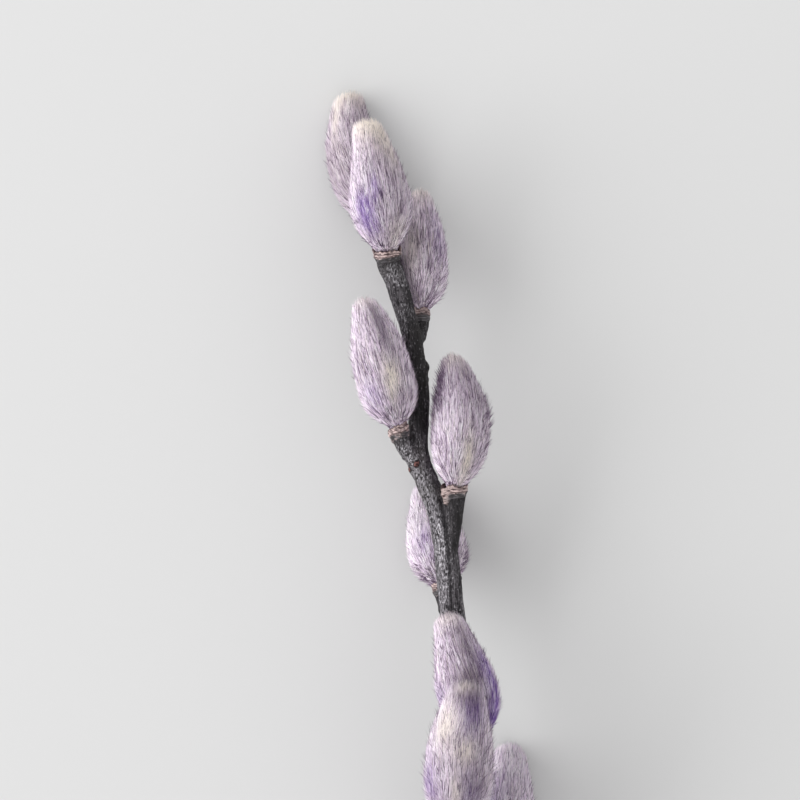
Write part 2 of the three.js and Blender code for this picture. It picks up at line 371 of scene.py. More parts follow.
def willow_bark():
    material, bench, shader = new_finish("willow_bark", 0.7)
    place = bench.node("ShaderNodeTexCoord", out="Object")
    fibre = bench.noise(bench.vector("MULTIPLY", place, (1.0, 0.13, 1.0)), 3800.0, 4.0)
    grain = bench.noise(bench.vector("MULTIPLY", place, (1.0, 0.4, 1.0)), 5200.0, 4.0)
    patch = bench.noise(bench.vector("MULTIPLY", place, (1.0, 0.3, 1.0)), 520.0, 3.0)
    fleck = bench.noise(place, 3000.0, 2.0)
    moss = bench.noise(place, 95.0, 2.0)
    weathered_and_lit = bench.attribute("weathered_and_lit")
    shaded = bench.attribute("shaded")
    red_bud = bench.attribute("red_bud")
    heart = bench.attribute("from_heart")

    skin = bench.mix(bench.fade(fibre + 0.6 * patch, 0.58, 0.98), BARK_DARK, BARK_GREY)
    skin = bench.mix(0.25 * bench.fade(moss, 0.54, 0.68), skin, BARK_OLIVE)
    # Ash-grey where the bark has weathered, and painted light along the lit upper side of the lower stem.
    skin = bench.mix(weathered_and_lit * bench.fade(grain + 0.3 * fibre, 0.54, 0.72), skin, BARK_ASH)
    # Painted shade: the bark turns nearly black below the cups and beside the forks.
    skin = bench.mix(0.8 * shaded, skin, BARK_PAINTED_SHADE)
    # More pale flecks where the bark is weathered and lit, fewer in the painted shade.
    fleck_share = (0.45 + 0.45 * weathered_and_lit) * (1 - 0.6 * shaded)
    skin = bench.mix(fleck_share * bench.fade(grain + 0.35 * patch, 0.74, 0.86), skin, BARK_PALE)
    skin = bench.mix(0.9 * bench.fade(fleck + 0.6 * grain, 0.76, 0.62), skin, BARK_DARK)
    # The crease is painted dark as the shade that falls in it.
    skin = bench.mix(0.85 * bench.attribute("seam"), skin, BARK_DARK)
    bud = bench.mix(bench.fade(fleck, 0.42, 0.62), BUD_DARK, BUD_PINK)
    skin = bench.mix(0.8 * bench.fade(red_bud, 0.15, 0.35), skin, BARK_DARK)
    skin = bench.mix(bench.fade(red_bud + 0.6 * (grain - 0.5), 0.40, 0.65), skin, bud)

    wood = bench.mix(bench.fade(heart + 0.1 * fibre, 0.30, 0.20), WOOD_PALE, PITH_BROWN)
    wood = bench.mix(bench.fade(heart, 0.80, 0.90), wood, WOOD_GREEN)
    wood = bench.mix(bench.fade(heart, 0.93, 0.98), wood, BARK_DARK)
    bench.feed(shader.inputs["Base Color"], bench.mix(bench.attribute("cut"), skin, wood))
    bench.feed(shader.inputs["Roughness"], 0.55 + 0.3 * grain)
    bench.feed(shader.inputs["Normal"], bench.bump(fibre + grain, 0.7, 0.15 * MM))
    shader.inputs["Specular IOR Level"].default_value = 0.18
    return material


bark = willow_bark()
print("finish:", bark.name)

# %% [markdown]
# ## The stem
#
# The solid stem has flat sides and sharp forks. A copy of it is remeshed in small cubes, which lets wood
# flow from the twig into each spur, and is smoothed everywhere but at the cut. The cut is the flat face
# with the largest area near the lower end, so it is found and not written down. Marks on the bark are
# short lines, given in pixels of the view from above, and each point of the stem notes how near it is to
# them. A small tree then moves every point along its normal: wrinkles that run along the twig, warts, buds
# and the crease.

# %% Remesh and smooth a copy of the stem
STEM_CUBE = 0.25 * MM
STEM_MERGE = 0.001 * MM
STEM_SMOOTHING = 11
CUT_SEARCH = 5.0 * MM
CUT_FLATNESS = 0.999
CUT_MARGIN = 0.45 * MM

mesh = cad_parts["stem"].data.copy()
joined = bmesh.new()
joined.from_mesh(mesh)
bmesh.ops.remove_doubles(joined, verts=joined.verts, dist=STEM_MERGE)
joined.to_mesh(mesh)
joined.free()
mesh.materials.clear()
stem = new_piece("stem_bark", mesh)
cubes = stem.modifiers.new("cubes", "REMESH")
cubes.mode = "VOXEL"
cubes.voxel_size = STEM_CUBE
settle(stem)

stem_triangles = node_corners("stem")
low_end = stem_triangles[stem_triangles[:, :, 1].min(1) < stem_low.y + CUT_SEARCH]
crosses = face_crosses(low_end)
normals = unit(crosses)
flat_areas = (normals @ normals.T > CUT_FLATNESS) @ np.linalg.norm(crosses, axis=1)
cut_normal = normals[flat_areas.argmax()]
cut_middle = low_end[normals @ cut_normal > CUT_FLATNESS].reshape(-1, 3).mean(0)
above_cut = (cut_middle - mesh_points(stem.data)) @ cut_normal
smoothed = stem.vertex_groups.new(name="smoothed")
smoothed.add([int(i) for i in np.flatnonzero(above_cut > CUT_MARGIN)], 1.0, "REPLACE")
smooth = stem.modifiers.new("smooth", "SMOOTH")
smooth.factor = 0.5
smooth.iterations = STEM_SMOOTHING
smooth.vertex_group = smoothed.name
settle(stem)
print("stem:", triangle_count(stem), "triangles; the cut faces", [round(c, 2) for c in cut_normal])

# %% Note where the bark is weathered and lit, where its shade is painted, and where it is creased and budded
# A line of weathered bark on the lower stem's upper side, which is also painted paler as the lit side.
WEATHERED_AND_LIT_LINES = [[(404, 450), (413, 466), (428, 494), (438, 530), (442, 560), (444, 612)]]
# Lines in pixels beside the forks where shade is painted on the bark.
PAINTED_SHADE_LINES = [[(409, 292), (418, 345), (422, 425)], [(456, 497), (457, 548)], [(425, 318), (422, 340)]]
# The crease where a spur has grown against the stem: sunk, and painted dark as shade.
SEAM_LINES = [[(441, 500), (446, 527), (449, 555), (450, 583), (452, 611)]]
BUD_LINES = [[(416.5, 463.0), (416.5, 464.0)], [(408.5, 469.0), (408.5, 470.0)]]
WEATHERED_AND_LIT_WIDTH = 1.0 * MM
PAINTED_SHADE_WIDTH = 1.3 * MM
SEAM_WIDTH = 0.28 * MM
BUD_SIZE = 0.46 * MM
# How far the painted shade below each cup reaches.
CUP_SHADE_REACH = 2.6 * MM

points = mesh_points(stem.data)
top_side = points[:, 2] > view_middle.z


def near_lines(pixel_lines, width):
    """1 on lines that are given in pixels of the view from above, fading to 0 past a width's distance."""
    nearest = np.full(len(points), np.inf)
    for pixels in pixel_lines:
        from_middle = (np.array(pixels) - PICTURE_PIXELS / 2) * (1, -1)
        corners = from_middle * MM_PER_PIXEL * MM + view_middle.to_tuple()[:2]
        for start, end in zip(corners[:-1], corners[1:]):
            run = end - start
            offset = points[:, :2] - start
            share = np.clip(offset @ run / (run @ run), 0, 1)
            nearest = np.minimum(nearest, np.linalg.norm(offset - np.outer(share, run), axis=1))
    return np.exp(-((nearest / width) ** 2))


cup_shadows = [np.exp(-(((points - line.seat) / CUP_SHADE_REACH) ** 2).sum(1)) for line in lines]
store(stem.data, "weathered_and_lit", near_lines(WEATHERED_AND_LIT_LINES, WEATHERED_AND_LIT_WIDTH) * top_side)
# The painted shade beside the forks and below the cups is kept in one value.
store(stem.data, "shaded", np.maximum(near_lines(PAINTED_SHADE_LINES, PAINTED_SHADE_WIDTH), np.max(cup_shadows, axis=0)))
store(stem.data, "seam", near_lines(SEAM_LINES, SEAM_WIDTH) * top_side)
store(stem.data, "red_bud", near_lines(BUD_LINES, BUD_SIZE) * top_side)
print("points of the stem:", len(points))

# %% Note where the stem is cut
CUT_DEPTH = 0.12 * MM
CUT_THINNESS = 0.05

# The cut through a round stem is an ellipse, so the way from its heart is measured in its own spread.
in_cut = (cut_middle - points) @ cut_normal < CUT_DEPTH
cut_points = points[in_cut]
offset = points - cut_points.mean(0)
flattened = np.linalg.pinv(np.cov(cut_points.T), rcond=CUT_THINNESS)
from_heart = np.sqrt(np.einsum("ij,jk,ik->i", offset, flattened, offset))
store(stem.data, "cut", in_cut)
store(stem.data, "from_heart", from_heart / from_heart[in_cut].max())
print("points on the cut:", len(cut_points))

# %% Raise the bark's wrinkles, warts and buds, and sink its crease
def bark_relief():
    inputs = {
        "Wrinkle depth": "Float", "Wart height": "Float", "Bud height": "Float", "Seam depth": "Float",
        "Bark": "Material",
    }
    bench, given, identifiers = new_tree("bark_relief", inputs)
    place = bench.node("GeometryNodeInputPosition")
    wrinkles = bench.noise(bench.vector("MULTIPLY", place, (1.0, 0.14, 1.0)), 1300.0, 3.0)
    warts = bench.noise(bench.vector("MULTIPLY", place, (1.0, 0.7, 1.0)), 900.0, 1.0)
    height = (wrinkles - 0.5) * given.out("Wrinkle depth")
    height = height + bench.fade(warts, 0.64, 0.76) * given.out("Wart height")
    height = height + bench.named("red_bud") * given.out("Bud height")
    height = height - bench.named("seam") * given.out("Seam depth")
    lift = bench.scaled(bench.node("GeometryNodeInputNormal"), (1 - bench.named("cut")) * height)
    moved = bench.node("GeometryNodeSetPosition", None, {"Geometry": given, "Offset": lift})
    shaded = bench.node("GeometryNodeSetShadeSmooth", None, {"Geometry": moved})
    real = bench.node("GeometryNodeRealizeInstances", None, {"Geometry": shaded})
    clad = bench.node("GeometryNodeSetMaterial", None, {"Geometry": real, "Material": given.out("Bark")})
    bench.node("NodeGroupOutput", None, {"Geometry": clad})
    return bench, identifiers


bark_bench, bark_inputs = bark_relief()
RELIEF = {
    "Wrinkle depth": 0.5 * MM, "Wart height": 0.13 * MM, "Bud height": 0.3 * MM, "Seam depth": 0.3 * MM,
    "Bark": bark,
}
run_tree(stem, bark_bench, bark_inputs, RELIEF)
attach(stem, "root")
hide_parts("stem")
print("stem with relief:", triangle_count(stem), "triangles")

# %% [markdown]
# ## Bud scales
#
# Each catkin broke out of one hood-like scale, and the scale's foot stays behind as a low, layered cup
# with a torn rim. A cup is a turned shape, so it is a profile swept round the catkin's line; sums of sines
# push the rings in and out and tear the rim, and the layers are ridges in the profile. No two are alike:
# some rims lean, on two cups a flap has peeled off, and some are pinker than others. Leans and flaps are
# given by the way they face in degrees (0 right, 90 up, 180 left).

# %% The bud scales' finish
SCALE_BARK = linear(44, 40, 42)
SCALE_GREY = linear(148, 129, 128)
SCALE_PINK = linear(216, 192, 188)
SCALE_DARK = linear(56, 34, 33)
SCALE_BEIGE = linear(172, 153, 149)


def dry_bud_scale():
    material, bench, shader = new_finish("dry_bud_scale", 0.6)
    place = bench.node("ShaderNodeTexCoord", out="Object")
    blotch = bench.noise(place, 1300.0, 3.0)
    fibre = bench.noise(bench.vector("MULTIPLY", place, (0.4, 1.0, 0.4)), 3900.0, 3.0)
    layer = bench.attribute("layer")
    pinkness = bench.attribute("pinkness")

    strip = bench.mix(bench.fade(fibre, 0.35, 0.52), SCALE_DARK, SCALE_GREY)
    strip = bench.mix(pinkness * bench.fade(fibre + 0.5 * blotch, 0.70, 0.88), strip, SCALE_PINK)
    colour = bench.mix(bench.fade(fibre, 0.45, 0.65), SCALE_BARK, BARK_GREY)
    strip_share = bench.fade(layer + 0.7 * (blotch - 0.5) + 0.25 * pinkness, 0.24, 0.46)
    colour = bench.mix(strip_share, colour, strip)
    rim_share = 0.8 * bench.fade(layer + 0.3 * (fibre - 0.5), 0.86, 0.97)
    colour = bench.mix(rim_share, colour, SCALE_DARK)
    # Painted shade in the grooves between the layers and inside the cup.
    colour = bench.mix(bench.attribute("groove_shade") * bench.fade(blotch, 0.25, 0.45), colour, SCALE_DARK)
    colour = bench.mix(bench.attribute("torn") * bench.fade(fibre, 0.30, 0.62), colour, SCALE_BEIGE)
    bench.feed(shader.inputs["Base Color"], colour)
    bench.feed(shader.inputs["Roughness"], 0.45 + 0.35 * fibre)
    bench.feed(shader.inputs["Normal"], bench.bump(fibre + blotch, 0.5, 0.1 * MM))
    return material


bud_scale = dry_bud_scale()
print("finish:", bud_scale.name)

# %% Join rings of points into a closed mesh
def ringed_mesh(name, places, sides):
    """A closed mesh of points that are given ring by ring, then the two points that close its ends."""
    first_end, last_end = len(places) - 2, len(places) - 1
    faces = []
    for low in range(0, first_end - sides, sides):
        high = low + sides
        for side in range(sides):
            after = (side + 1) % sides
            faces.append((low + side, high + side, high + after, low + after))
    last = first_end - sides
    for side in range(sides):
        after = (side + 1) % sides
        faces.append((side, after, first_end))
        faces.append((last + after, last + side, last_end))
    mesh = bpy.data.meshes.new(name)
    mesh.from_pydata(places.tolist(), [], faces)
    mesh.shade_smooth()
    return mesh


# %% Turn a cup for each catkin
CUP_SEGMENTS = 96
CUP_TEAR = 0.30 * MM
CUP_TILT = 0.16
# Rings of a cup from its foot over the rim to its inside: shares of its radius and of its height.
CUP_PROFILE = [
    (0.70, -0.50), (0.84, -0.38), (0.90, -0.22), (0.92, -0.06), (0.95, 0.08), (0.98, 0.18),
    (0.945, 0.25), (0.985, 0.34), (1.015, 0.45), (1.00, 0.53), (0.95, 0.58), (0.98, 0.68),
    (1.00, 0.82), (0.995, 0.95), (0.95, 1.00), (0.89, 0.96), (0.85, 0.80), (0.80, 0.50),
]
# Rings that are painted dark as shade, in the grooves between the layers and inside the cup.
CUP_SHADED_RINGS = {6, 10, 15, 16, 17}
# Peeled flaps: the way they face, their reach as a share of the radius, and their spread in degrees.
FLAPS = {"05": (152.0, 0.30, 30.0), "04": (205.0, 0.16, 30.0)}
FLAP_DROP = 1.0 * MM
# Rims that stand higher on one side: the way it faces, and how much higher it is.
LEANS = {"02": (190.0, 0.12 * MM), "04": (0.0, 0.45 * MM), "05": (180.0, 0.15 * MM)}
PINKNESS = {"02": 0.7, "03": 0.0, "04": 1.0, "05": 0.6, "06": 0.9}
PLAIN_PINKNESS = 0.6


def bud_scale_piece(line):
    turns = np.linspace(0, 2 * math.pi, CUP_SEGMENTS, endpoint=False)
    radial = np.outer(np.cos(turns), line.side) + np.outer(np.sin(turns), line.rise)
    phase = 1.7 * int(line.number)
    tear = 0.6 * np.sin(3 * turns + phase) + 0.4 * np.sin(5 * turns - phase)
    tear += 0.3 * np.sin(17 * turns + phase)
    facing, reach, spread = FLAPS.get(line.number, (0.0, 0.0, 1.0))
    off_flap = np.degrees(np.angle(np.exp(1j * (turns - math.radians(facing)))))
    flap = reach * np.exp(-((off_flap / spread) ** 2))
    lean_facing, lean = LEANS.get(line.number, (0.0, 0.0))
    raised = lean * np.cos(turns - math.radians(lean_facing))
    rings = []
    layers = []
    for ring, (share, height) in enumerate(CUP_PROFILE):
        upper = np.clip(height, 0, 1)
        wobble = 0.03 * np.sin(4 * turns + phase + 0.9 * ring) + 0.014 * np.sin(11 * turns + 2.3 * ring)
        radius = line.cup_radius * (share + wobble + flap * (0.5 + 0.5 * upper))
        level = line.rim * (height + CUP_TILT * np.sin(turns + phase) * upper) + CUP_TEAR * tear * upper**2
        level += raised * upper - FLAP_DROP * np.minimum(flap * 4, 1) * (1 - 0.7 * upper)
        rings.append(line.seat + radial * radius[:, None] + np.outer(level, line.along))
        layers.append(upper)
    places = np.concatenate(rings + [rings[0].mean(0)[None], rings[-1].mean(0)[None]])
    groove_shades = [float(ring in CUP_SHADED_RINGS) for ring in range(len(CUP_PROFILE))]
    torn = np.clip(flap * 5 - 0.4, 0, 1)

    mesh = ringed_mesh("bud_scale_" + line.number, places, CUP_SEGMENTS)
    store(mesh, "layer", np.append(np.repeat(layers, CUP_SEGMENTS), [0.0, 0.0]))
    store(mesh, "groove_shade", np.append(np.repeat(groove_shades, CUP_SEGMENTS), [0.0, 1.0]))
    store(mesh, "torn", np.append(np.tile(torn, len(CUP_PROFILE)), [0.0, 0.0]))
    store(mesh, "pinkness", np.full(len(places), PINKNESS.get(line.number, PLAIN_PINKNESS)))
    mesh.materials.append(bud_scale)
    piece = new_piece(mesh.name, mesh)
    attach(piece, "root")
    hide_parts("bud_cup_" + line.number)
    return piece


cups = [bud_scale_piece(line) for line in lines]
print("bud scales:", len(cups), "of", triangle_count(cups[0]), "triangles")

# %% [markdown]
# ## Fur: the finish
#
# The hairs are silky and almost white, dyed a greyish lilac that took unevenly: some hairs are dark among
# the pale ones, some tips are cream, and violet shows where the dye ran. The roots are painted dark as the
# shade in the gaps between the hairs, stray hairs are painted darker, and spots of painted shadow and
# painted light lie on some catkins. Each hair carries its own tone, its place along itself, and how much
# dye, cream, dusk and painted shadow its skin has, so one material serves all of them.

# %% The fur's finish
# Painted shade in the gaps between the hairs, at their roots.
FUR_GAP_SHADE = linear(92, 74, 96)
FUR_DUSK = linear(94, 74, 98)
FUR_LILAC = linear(238, 218, 239)
FUR_SILVER = linear(255, 248, 255)
FUR_CREAM = linear(255, 244, 233)
FUR_VIOLET = linear(176, 140, 214)
FUR_PURPLE = linear(98, 60, 150)


def lilac_fur():
    material, bench, shader = new_finish("lilac_fur", 0.6)
    tone = bench.attribute("tone")
    hair = bench.mix(bench.fade(tone, 0.10, 0.38), FUR_DUSK, FUR_LILAC)
    hair = bench.mix(bench.fade(tone, 0.42, 0.80), hair, FUR_SILVER)
    # Duskier hairs of the catkin's own, and painted shadow where the stem or a neighbouring catkin shades
    # them.
    hair = bench.mix(0.75 * bench.attribute("dusk_and_shadow"), hair, FUR_DUSK)
    hair = bench.mix(bench.attribute("cream"), hair, FUR_CREAM)
    violet = bench.mix(bench.fade(tone, 0.25, 0.65), FUR_PURPLE, FUR_VIOLET)
    hair = bench.mix(bench.attribute("dye") * bench.fade(tone, 1.1, 0.35), hair, violet)
    # Each hair's root is painted dark as the shade in the gaps, except at the catkin's foot.
    out_of_gap_shade = bench.fade(bench.attribute("along") + bench.attribute("foot"), 0.0, 0.4)
    bench.feed(shader.inputs["Base Color"], bench.mix(out_of_gap_shade, FUR_GAP_SHADE, hair))
    bench.feed(shader.inputs["Roughness"], 0.7 - 0.2 * tone)
    shader.inputs["Specular IOR Level"].default_value = 0.3
    return material


fur = lilac_fur()
print("finish:", fur.name)

# %% [markdown]
# ## Fur: the skin under it
#
# Hairs need something to grow from. A catkin's skin is a closed, turned shape a little inside the fur's
# outline. It could be the same for all, but no two catkins are alike, so most have a form of their own:
# the share of the length where they are widest, how far the blunt end reaches, and how full they bulge
# towards the end and the foot. The foot is as wide as the cup and tucks into it, and some tips lean aside.
# The skin's points carry what the hairs will need: which way they are combed, how long they are, and how
# much dye, cream, dusk and painted shadow, painted light and bristle is there. Those are soft spots, each
# given by its share of the catkin's length, the way it faces (0 right, 90 up, 180 left), its half length and
# half width in mm, and its strength.

# %% Give the fur of each catkin its form
SKIN_SHARE = 0.84
SKIN_END = 0.945
SKIN_ROUND = 0.85
FOOT_TOP = 0.045
FOOT_TUCK = 0.8
# Share of the length where a catkin is widest, reach of its end, and fullness towards end and foot.
PLAIN_FORM = (0.43, 0.26, 1.95, 2.6)
FUR_FORMS = {
    "01": (0.43, 0.34, 1.8, 3.0), "02": (0.36, 0.30, 1.5, 2.0), "03": (0.40, 0.12, 1.9, 3.2),
    "04": (0.40, 0.12, 2.1, 3.2), "05": (0.45, 0.16, 1.6, 3.0), "06": (0.37, 0.28, 1.7, 2.6),
    "07": (0.40, 0.30, 1.4, 2.4), "08": (0.43, 0.26, 1.95, 2.4),
}
LEAN_FROM = 0.6
TIP_LEANS = {"01": 0.3 * MM, "02": -0.5 * MM, "04": -0.6 * MM, "05": -0.8 * MM}


def fur_reach(line, share):
    """Share of a catkin's largest radius that its fur reaches at a share of its length."""
    widest, end_reach, end_bulge, foot_bulge = FUR_FORMS.get(line.number, PLAIN_FORM)
    foot_reach = line.cup_radius / line.radius
    below = np.clip((widest - share) / (widest - FOOT_TOP), 0, 1)
    above = np.clip((share - widest) / (1 - widest), 0, 1)
    tucked = FOOT_TUCK + (1 - FOOT_TUCK) * np.clip(share / FOOT_TOP, 0, 1)
    return tucked * (1 - (1 - foot_reach) * below**foot_bulge - (1 - end_reach) * above**end_bulge)


def skin_middle(line, share):
    """Middle of a catkin's skin at a share of its length."""
    lean = TIP_LEANS.get(line.number, 0.0) * (np.maximum(share - LEAN_FROM, 0) / (1 - LEAN_FROM)) ** 2
    sideways = 4 * line.bow * share * (1 - share) + lean
    return line.base + np.outer(share * line.length, line.along) + np.outer(sideways, line.side)


print("forms of their own:", len(FUR_FORMS), "of", len(lines))

# %% Spots of dye, cream, dusk and painted shadow, painted light and bristles
DYE = {
    "02": [(0.33, 124, 2.2, 1.8, 1.0), (0.20, 118, 1.8, 1.8, 0.55), (0.46, 97, 1.6, 0.8, 0.8)],
    "03": [(0.55, 40, 4.5, 1.6, 0.3)],
    "04": [(0.26, 125, 2.2, 1.5, 0.4)],
    "06": [(0.34, 112, 2.6, 1.7, 0.4)],
    "07": [(0.42, 28, 4.0, 1.6, 1.0), (0.16, 40, 3.0, 2.2, 1.0), (0.34, 160, 2.0, 2.2, 0.35)],
    "08": [(0.80, 65, 3.0, 2.5, 0.5), (0.34, 150, 3.0, 2.0, 0.5), (0.34, 70, 3.0, 2.0, 0.3)],
    "09": [(0.4, 120, 5.0, 2.5, 0.4), (0.7, 60, 6.0, 4.0, 0.12)],
    "11": [(0.4, 70, 4.0, 2.0, 0.5)],
}
CREAM = {
    "01": [(0.97, 90, 3.6, 9.0, 1.0), (0.70, 130, 3.0, 0.9, 0.6), (0.45, 130, 7.0, 6.0, 0.15)],
    "02": [(0.97, 90, 3.6, 9.0, 1.0), (0.72, 30, 3.5, 2.2, 0.6), (0.12, 60, 2.0, 1.6, 0.5)],
    "03": [(0.95, 90, 3.0, 9.0, 0.7), (0.40, 115, 4.0, 1.4, 0.5)],
    "04": [(0.36, 74, 2.0, 1.4, 1.0), (0.24, 82, 1.6, 0.7, 0.6), (0.97, 90, 2.0, 9.0, 0.5)],
    "05": [(0.20, 72, 3.2, 0.9, 1.0), (0.97, 90, 2.2, 9.0, 0.6)],
    "07": [(0.97, 90, 1.6, 9.0, 0.6)],
    "08": [(0.98, 110, 1.5, 9.0, 1.0), (0.70, 135, 3.4, 2.4, 0.8), (0.58, 80, 1.8, 2.0, 0.8),
           (0.33, 95, 3.0, 0.9, 0.7)],
    "10": [(0.95, 90, 2.5, 9.0, 0.6)],
    "11": [(0.95, 90, 2.5, 9.0, 0.6)],
}
# Dusk spots: duskier hairs of the catkin's own, and painted shadow where the stem or a neighbouring catkin
# shades it, as on the left of 03 and on 07 just above the tip of 08.
DUSK_AND_SHADOW = {
    "01": [(0.30, 175, 7.0, 6.0, 0.7), (0.72, 40, 4.0, 2.0, 0.5)],
    "02": [(0.55, 35, 6.0, 2.2, 0.35)],
    "03": [(0.42, 160, 6.0, 2.2, 0.9)],
    "04": [(0.72, 64, 4.0, 1.2, 0.9), (0.45, 138, 1.4, 1.2, 0.45)],
    "05": [(0.82, 100, 4.5, 6.0, 0.5), (0.55, 30, 5.0, 2.2, 0.3)],
    "07": [(0.68, 58, 4.5, 1.6, 0.7), (0.46, 85, 1.6, 3.0, 1.0)],
    "08": [(0.90, 90, 1.6, 9.0, 0.5), (0.84, 60, 3.2, 2.4, 0.9), (0.36, 60, 4.0, 3.0, 0.5),
           (0.30, 145, 3.0, 2.0, 0.4)],
}
# Painted light: hairs painted paler where the light falls strongest, mostly on the catkins' left sides.
PAINTED_LIGHT = {
    "02": [(0.62, 130, 5.0, 2.2, 0.35)],
    "05": [(0.40, 100, 5.0, 2.5, 0.25)],
    "06": [(0.55, 160, 6.0, 4.0, 1.0)],
    "08": [(0.70, 145, 4.0, 2.5, 0.6)],
    "09": [(0.70, 80, 8.0, 4.0, 0.6)],
}
BRISTLES = {
    "01": [(0.95, 90, 1.5, 9.0, 0.2)],
    "02": [(0.95, 50, 1.5, 4.0, 0.2)],
    "03": [(0.95, 120, 1.4, 4.0, 0.3)],
    "04": [(0.95, 120, 1.5, 4.0, 0.3)],
    "05": [(0.80, 165, 4.0, 1.4, 0.55), (0.60, 170, 2.0, 1.2, 0.35), (0.55, 10, 3.0, 1.2, 0.4),
           (0.95, 110, 1.3, 9.0, 0.3)],
    "06": [(0.10, 160, 1.6, 1.6, 0.4), (0.22, 10, 2.0, 1.6, 0.4)],
    "07": [(0.94, 100, 1.3, 9.0, 0.15)],
}
SPOTS = {"dye": DYE, "cream": CREAM, "dusk_and_shadow": DUSK_AND_SHADOW, "painted_light": PAINTED_LIGHT, "bristle": BRISTLES}


def soft_spots(line, share, turns, spots):
    """Strength of the spots of one catkin at each point of its skin."""
    total = np.zeros_like(share)
    for at, facing, half_length, half_width, strength in spots.get(line.number, []):
        along = (share - at) * line.length / (half_length * MM)
        turned = np.angle(np.exp(1j * (turns - math.radians(facing))))
        across = turned * line.radius * fur_reach(line, share) / (half_width * MM)
        total += strength * np.exp(-(along**2) - across**2)
    return np.clip(total, 0, 1)


print("spots:", {name: sum(map(len, spots.values())) for name, spots in SPOTS.items()})

# %% Shape the skins
SKIN_RINGS = 44
SKIN_SIDES = 56
RING_CROWDING = 0.9
END_CLOSING = 0.999
SLOPE_STEP = 0.02
COMB_STRAIGHT = 0.8
STRAIGHT_FROM = 0.70
STRAIGHT_RUN = 0.22
HAIR_SHARES = [0.0, 0.12, 0.45, 0.78, SKIN_END]
HAIR_LENGTHS = [1.3, 2.0, 2.5, 2.2, 1.2]
PLAIN_LENGTH = 19.5 * MM
FUR_FOOT = 0.10
FLOOR_GAP = 0.12 * MM


def catkin_skin(line):
    shares = np.linspace(0, 1, SKIN_RINGS) ** RING_CROWDING * SKIN_END
    closing = np.clip((shares - SKIN_ROUND) / (SKIN_END - SKIN_ROUND), 0, END_CLOSING)
    share = np.repeat(shares, SKIN_SIDES)
    turns = np.tile(np.linspace(0, 2 * math.pi, SKIN_SIDES, endpoint=False), SKIN_RINGS)
    radial = np.outer(np.cos(turns), line.side) + np.outer(np.sin(turns), line.rise)
    rounding = np.repeat(np.sqrt(1 - closing**2), SKIN_SIDES)
    radius = SKIN_SHARE * line.radius * fur_reach(line, share) * rounding
    places = skin_middle(line, share) + radial * radius[:, None]
    places = np.concatenate([places, skin_middle(line, np.array([0.0, SKIN_END]))])
    places[:, 2] = np.maximum(places[:, 2], FLOOR_GAP)
    mesh = ringed_mesh("catkin_fur_" + line.number, places, SKIN_SIDES)

    widening = fur_reach(line, share + SLOPE_STEP) - fur_reach(line, share - SLOPE_STEP)
    slope = SKIN_SHARE * line.radius * widening
    slope *= 1 - COMB_STRAIGHT * np.clip((share - STRAIGHT_FROM) / STRAIGHT_RUN, 0, 1)
    ahead = skin_middle(line, share + SLOPE_STEP) - skin_middle(line, share - SLOPE_STEP)
    comb = unit(ahead + radial * slope[:, None])
    store(mesh, "comb", np.concatenate([comb, [line.along, line.along]]), "FLOAT_VECTOR", "vector")

    share = np.append(share, [0.0, SKIN_END])
    turns = np.append(turns, [0.0, 0.0])
    lengths = np.interp(share, HAIR_SHARES, HAIR_LENGTHS) * MM
    store(mesh, "hair_length", lengths * line.length / PLAIN_LENGTH)
    store(mesh, "foot", np.clip(1 - share / FUR_FOOT, 0, 1))
    for name, spots in SPOTS.items():
        store(mesh, name, soft_spots(line, share, turns, spots))
    return new_piece(mesh.name, mesh)


skins = [catkin_skin(line) for line in lines]
print("skins:", len(skins), "of", triangle_count(skins[0]), "triangles")

# %% [markdown]
# ## Fur: the hairs
#
# Hair curves would render well, but an export drops them, so each hair is a slim three-sided spike of
# four triangles. The tree scatters roots over the skin, points each hair along the comb with a
# little lift and swirl, gathers the tips of neighbouring hairs into locks, lays them down, and keeps them
# off the floor. A few hairs are dark, and a few stray, more of them and longer ones where the skin has
# bristles. Thin spikes alone would shade like a heap of slivers, so each hair takes a part of its skin's
# normal, and the catkin looks round. Each hair also gets its own cell of a UV map, where an export can keep
# its colours.

# %% Scatter the roots and aim the hairs
FUR_INPUTS = {
    "Hairs per square metre": "Float", "Locks per square metre": "Float", "Hair width": "Float",
    "Lift": "Float", "Swirl": "Float", "Lock pull": "Float", "Lay down": "Float", "Strays": "Float",
    "Dark hairs": "Float", "Round shading": "Float", "Seed": "Int", "Fur": "Material",
}


